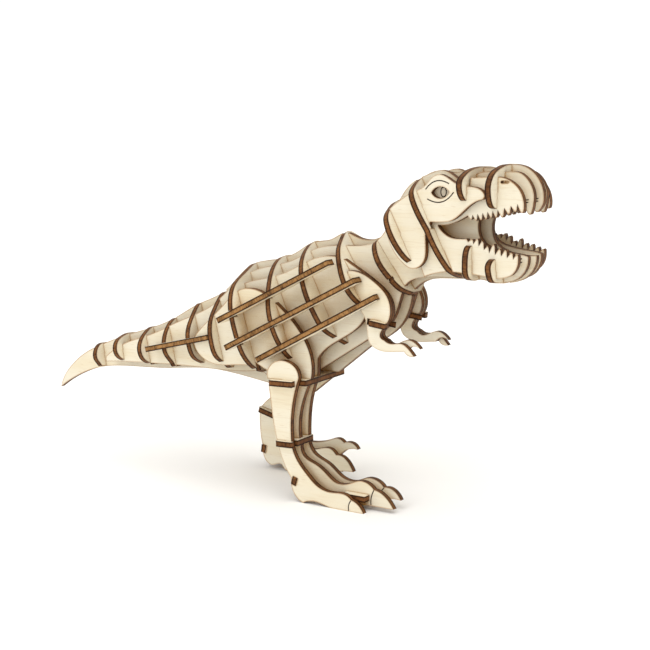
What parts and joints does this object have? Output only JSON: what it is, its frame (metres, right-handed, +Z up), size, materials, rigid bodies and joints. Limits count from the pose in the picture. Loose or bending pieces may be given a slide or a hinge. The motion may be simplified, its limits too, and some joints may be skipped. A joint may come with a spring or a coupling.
{
  "type": "wooden dinosaur jigsaw model",
  "caption": "Slot-together plywood tyrannosaur: lengthwise plates for spine, flanks, legs and jaws, crossed by ribs, collars, bars and leg bands.",
  "frame": {"origin": "on the ground under the middle of the model's bounding box", "axes": "+X from the tail to the head, +Y to the dinosaur's left, +Z up"},
  "size_m": [0.3021, 0.07, 0.1704],
  "materials": {
    "ankle_band_left": "pale birch veneer faces with dark laser-burnt edges",
    "ankle_band_right": "pale birch veneer faces with dark laser-burnt edges",
    "body_rib_1": "pale birch veneer faces with dark laser-burnt edges",
    "body_rib_2": "pale birch veneer faces with dark laser-burnt edges",
    "body_rib_3": "pale birch veneer faces with dark laser-burnt edges",
    "body_rib_4": "pale birch veneer faces with dark laser-burnt edges",
    "cheek_plate_left": "pale birch veneer faces with dark laser-burnt edges",
    "cheek_plate_right": "pale birch veneer faces with dark laser-burnt edges",
    "cheek_rib_lower": "pale birch veneer faces with dark laser-burnt edges",
    "cheek_rib_upper": "pale birch veneer faces with dark laser-burnt edges",
    "elbow_band_left": "pale birch veneer faces with dark laser-burnt edges",
    "elbow_band_right": "pale birch veneer faces with dark laser-burnt edges",
    "flank_bar_lower_left": "laser-burnt birch edge grain",
    "flank_bar_lower_right": "laser-burnt birch edge grain",
    "flank_bar_middle_left": "laser-burnt birch edge grain",
    "flank_bar_middle_right": "laser-burnt birch edge grain",
    "flank_bar_upper_left": "laser-burnt birch edge grain",
    "flank_bar_upper_right": "laser-burnt birch edge grain",
    "heel_bar_left": "pale birch veneer faces with dark laser-burnt edges",
    "heel_bar_right": "pale birch veneer faces with dark laser-burnt edges",
    "inner_plate_left": "pale birch veneer faces with dark laser-burnt edges",
    "inner_plate_right": "pale birch veneer faces with dark laser-burnt edges",
    "jaw_plate_left": "pale birch veneer faces with dark laser-burnt edges",
    "jaw_plate_right": "pale birch veneer faces with dark laser-burnt edges",
    "jaw_rib_front": "pale birch veneer faces with dark laser-burnt edges",
    "jaw_rib_rear": "pale birch veneer faces with dark laser-burnt edges",
    "knee_band_left": "pale birch veneer faces with dark laser-burnt edges",
    "knee_band_right": "pale birch veneer faces with dark laser-burnt edges",
    "nape_rib": "pale birch veneer faces with dark laser-burnt edges",
    "neck_collar": "pale birch veneer faces with dark laser-burnt edges",
    "outer_arm_left": "pale birch veneer faces with dark laser-burnt edges",
    "outer_arm_right": "pale birch veneer faces with dark laser-burnt edges",
    "shin_plate_left": "pale birch veneer faces with dark laser-burnt edges",
    "shin_plate_right": "pale birch veneer faces with dark laser-burnt edges",
    "side_plate_left": "pale birch veneer faces with dark laser-burnt edges",
    "side_plate_right": "pale birch veneer faces with dark laser-burnt edges",
    "snout_rib_front": "pale birch veneer faces with dark laser-burnt edges",
    "snout_rib_rear": "pale birch veneer faces with dark laser-burnt edges",
    "spine_plate": "pale birch veneer faces with dark laser-burnt edges",
    "tail_bar_left": "laser-burnt birch edge grain",
    "tail_bar_right": "laser-burnt birch edge grain",
    "tail_rib_1": "pale birch veneer faces with dark laser-burnt edges",
    "tail_rib_2": "pale birch veneer faces with dark laser-burnt edges",
    "tail_rib_3": "pale birch veneer faces with dark laser-burnt edges",
    "tail_rib_4": "pale birch veneer faces with dark laser-burnt edges",
    "tail_rib_5": "pale birch veneer faces with dark laser-burnt edges",
    "tail_rib_6": "pale birch veneer faces with dark laser-burnt edges",
    "thigh_plate_left": "pale birch veneer faces with dark laser-burnt edges",
    "thigh_plate_right": "pale birch veneer faces with dark laser-burnt edges",
    "toe_plate_left": "pale birch veneer faces with dark laser-burnt edges",
    "toe_plate_right": "pale birch veneer faces with dark laser-burnt edges"
  },
  "bodies": {
    "root": {"ankle_band_left": "ankle_band_left", "ankle_band_right": "ankle_band_right", "body_rib_1": "body_rib_1", "body_rib_2": "body_rib_2", "body_rib_3": "body_rib_3", "body_rib_4": "body_rib_4", "cheek_plate_left": "cheek_plate_left", "cheek_plate_right": "cheek_plate_right", "cheek_rib_lower": "cheek_rib_lower", "cheek_rib_upper": "cheek_rib_upper", "elbow_band_left": "elbow_band_left", "elbow_band_right": "elbow_band_right", "flank_bar_lower_left": "flank_bar_lower_left", "flank_bar_lower_right": "flank_bar_lower_right", "flank_bar_middle_left": "flank_bar_middle_left", "flank_bar_middle_right": "flank_bar_middle_right", "flank_bar_upper_left": "flank_bar_upper_left", "flank_bar_upper_right": "flank_bar_upper_right", "heel_bar_left": "heel_bar_left", "heel_bar_right": "heel_bar_right", "inner_plate_left": "inner_plate_left", "inner_plate_right": "inner_plate_right", "jaw_plate_left": "jaw_plate_left", "jaw_plate_right": "jaw_plate_right", "jaw_rib_front": "jaw_rib_front", "jaw_rib_rear": "jaw_rib_rear", "knee_band_left": "knee_band_left", "knee_band_right": "knee_band_right", "nape_rib": "nape_rib", "neck_collar": "neck_collar", "outer_arm_left": "outer_arm_left", "outer_arm_right": "outer_arm_right", "shin_plate_left": "shin_plate_left", "shin_plate_right": "shin_plate_right", "side_plate_left": "side_plate_left", "side_plate_right": "side_plate_right", "snout_rib_front": "snout_rib_front", "snout_rib_rear": "snout_rib_rear", "spine_plate": "spine_plate", "tail_bar_left": "tail_bar_left", "tail_bar_right": "tail_bar_right", "tail_rib_1": "tail_rib_1", "tail_rib_2": "tail_rib_2", "tail_rib_3": "tail_rib_3", "tail_rib_4": "tail_rib_4", "tail_rib_5": "tail_rib_5", "tail_rib_6": "tail_rib_6", "thigh_plate_left": "thigh_plate_left", "thigh_plate_right": "thigh_plate_right", "toe_plate_left": "toe_plate_left", "toe_plate_right": "toe_plate_right"}
  },
  "joints": []
}
